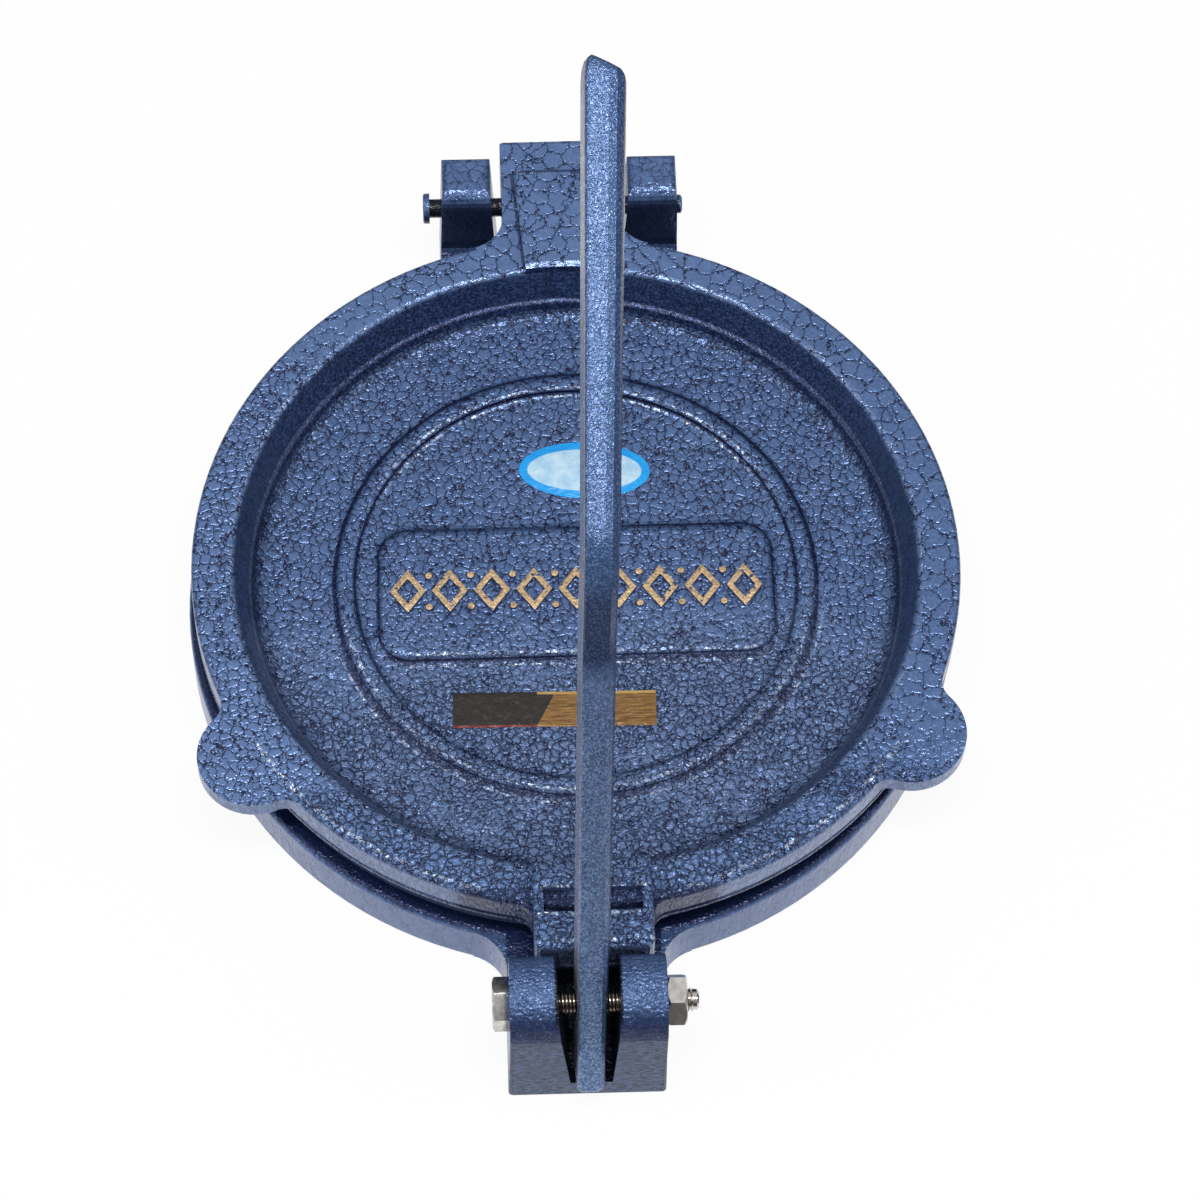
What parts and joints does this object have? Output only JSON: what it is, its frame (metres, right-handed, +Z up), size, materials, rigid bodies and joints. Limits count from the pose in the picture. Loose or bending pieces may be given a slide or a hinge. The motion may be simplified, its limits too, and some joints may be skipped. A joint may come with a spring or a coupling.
{
  "type": "tortilla press",
  "caption": "Cast tortilla press: two hinged round plates with lifting tabs, squeezed shut by a hand lever on a clevis bolt at the front.",
  "frame": {"origin": "centre line of the round plates, at the height of the table that the base stands on", "axes": "+Z up, +Y towards the lid's hinge, -Y towards the lever's clevis, +X to the right seen from the clevis"},
  "size_m": [0.2051, 0.2761, 0.2191],
  "materials": {
    "painted_casting": "glossy blue hammertone paint on a sand casting",
    "painted_steel": "thin blue paint over a dark steel pin",
    "plated_steel": "bright plating"
  },
  "bodies": {
    "base": {"base": "painted_casting", "hinge_pin": "painted_steel", "lever_bolt": "plated_steel", "lever_nut": "plated_steel"},
    "lid": {"lid": "painted_casting"},
    "lever": {"lever": "painted_casting"}
  },
  "joints": [
    {"name": "lid_hinge", "type": "hinge", "parent": "base", "child": "lid", "pos_m": [0, 0.1168, 0.0283], "axis": [-1, 0, 0], "range_deg": [0, 80]},
    {"name": "lever_pivot", "type": "hinge", "parent": "base", "child": "lever", "pos_m": [0, -0.126, 0.0318], "axis": [1, 0, 0], "range_deg": [0, 120]}
  ],
  "couplings": [
    {"joint": "lever_pivot", "follows": "lid_hinge", "ratio": 1.5}
  ]
}
